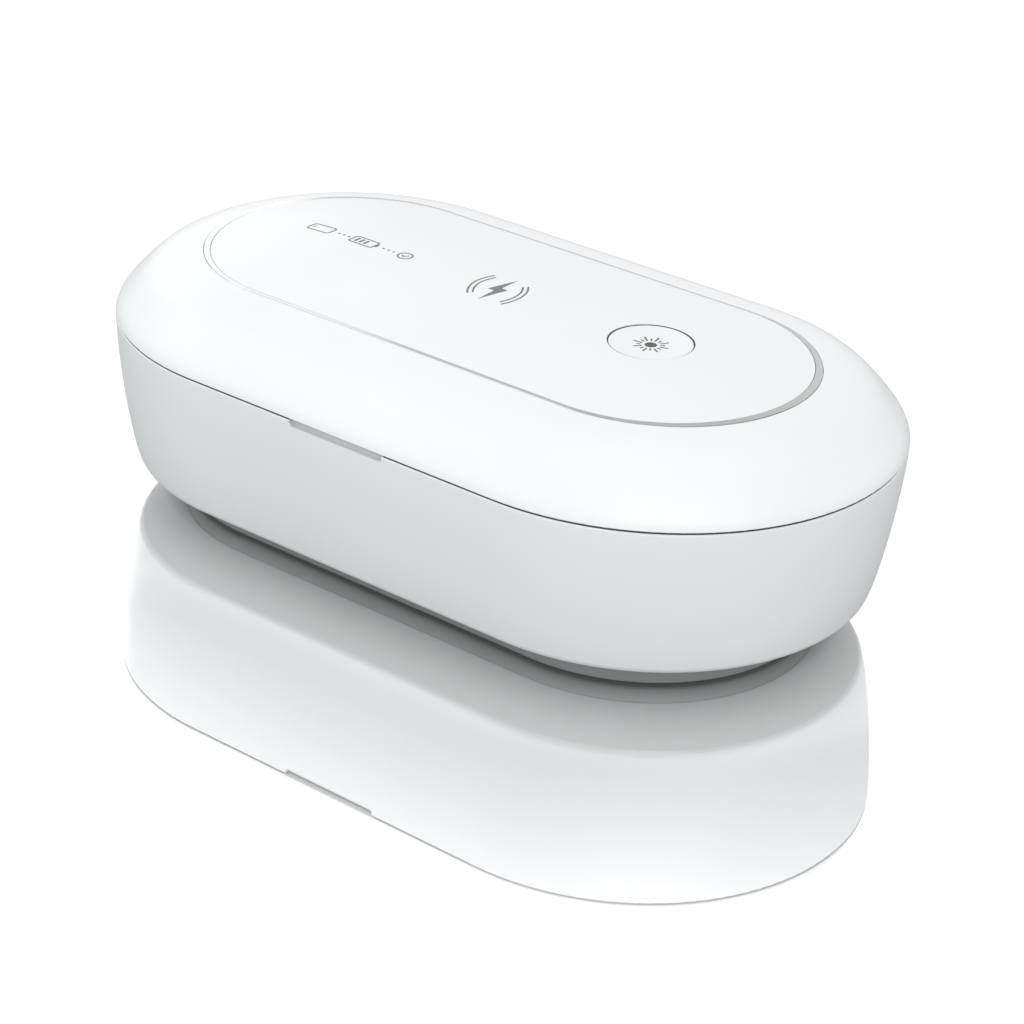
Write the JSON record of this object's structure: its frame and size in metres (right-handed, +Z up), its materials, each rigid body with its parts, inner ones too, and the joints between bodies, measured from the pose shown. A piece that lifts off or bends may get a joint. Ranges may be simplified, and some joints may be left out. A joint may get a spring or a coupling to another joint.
{
  "type": "phone sanitizer box",
  "caption": "Pill-shaped lidded sanitizing box for a phone, with a hinged domed lid, a mirrored ultraviolet chamber, a round press button and a charging pad in the lid.",
  "frame": {"origin": "middle of the footprint, on the surface the feet stand on", "axes": "+Z up, +X along the length towards the button end, -Y towards the finger notch, +Y towards the hinge and the charging inlet"},
  "size_m": [0.22, 0.1252, 0.0691],
  "materials": {
    "shell_white": "semi-gloss white moulded shell",
    "panel_white": "glossy white plate",
    "plinth_grey": "matt mid-grey moulded plinth",
    "foot_rubber": "dark rubber pads",
    "seal_grey": "dark grey silicone seal",
    "trim_chrome": "plated trim band",
    "reflector": "vacuum-plated reflective plastic",
    "quartz": "clear quartz discs",
    "clear_rail": "clear moulded rails",
    "led_strip": "aluminium-core strip with white mask",
    "led_package": "ceramic LED package",
    "steel": "zinc-plated steel",
    "inlet_steel": "stainless sleeve",
    "board_green": "green circuit board",
    "chip_black": "black moulded parts",
    "can_aluminium": "aluminium can",
    "connector_ivory": "ivory nylon",
    "wire_jacket": "pale wire jacket",
    "magnet": "nickel-plated magnet",
    "ferrite": "sintered ferrite",
    "copper": "enamelled copper winding"
  },
  "bodies": {
    "base": {"base_shell": "shell_white", "bottom_cover": "plinth_grey", "rubber_feet": "foot_rubber", "base_screws": "steel", "chamber_tray": "reflector", "rim_gasket": "seal_grey", "phone_rests": "clear_rail", "lower_windows": "quartz", "lower_led_board": "led_strip", "lower_leds": "led_package", "lower_led_screws": "steel", "main_board": "board_green", "control_chip": "chip_black", "inductors": "chip_black", "capacitors": "can_aluminium", "board_connectors": "connector_ivory", "board_screws": "steel", "usb_c_receptacle": "inlet_steel", "lid_sensor": "chip_black", "sensor_lead": "wire_jacket", "lower_led_lead": "wire_jacket", "base_magnets": "magnet", "hinge_pins": "steel", "base_loom": "wire_jacket"},
    "lid": {"lid_shell": "shell_white", "trim_ring": "trim_chrome", "top_panel": "panel_white", "lid_reflector": "reflector", "lid_screws": "steel", "upper_windows": "quartz", "upper_led_board": "led_strip", "upper_leds": "led_package", "upper_led_screws": "steel", "lid_board": "board_green", "lid_board_screws": "steel", "lid_connectors": "connector_ivory", "coil_carrier": "connector_ivory", "ferrite_sheet": "ferrite", "charging_coil": "copper", "switch_body": "chip_black", "lid_magnets": "magnet", "lid_loom": "wire_jacket"},
    "button": {"uv_button": "panel_white", "switch_plunger": "connector_ivory"}
  },
  "joints": [
    {"name": "lid_hinge", "type": "hinge", "parent": "base", "child": "lid", "pos_m": [0, 0.06, 0.0503], "axis": [-1, 0, 0], "range_deg": [0, 95]},
    {"name": "button_press", "type": "slide", "parent": "lid", "child": "button", "axis": [0, 0, -1], "range_m": [0, 0.0005], "stiffness_N_per_m": 3000, "springref_m": -0.0003}
  ]
}
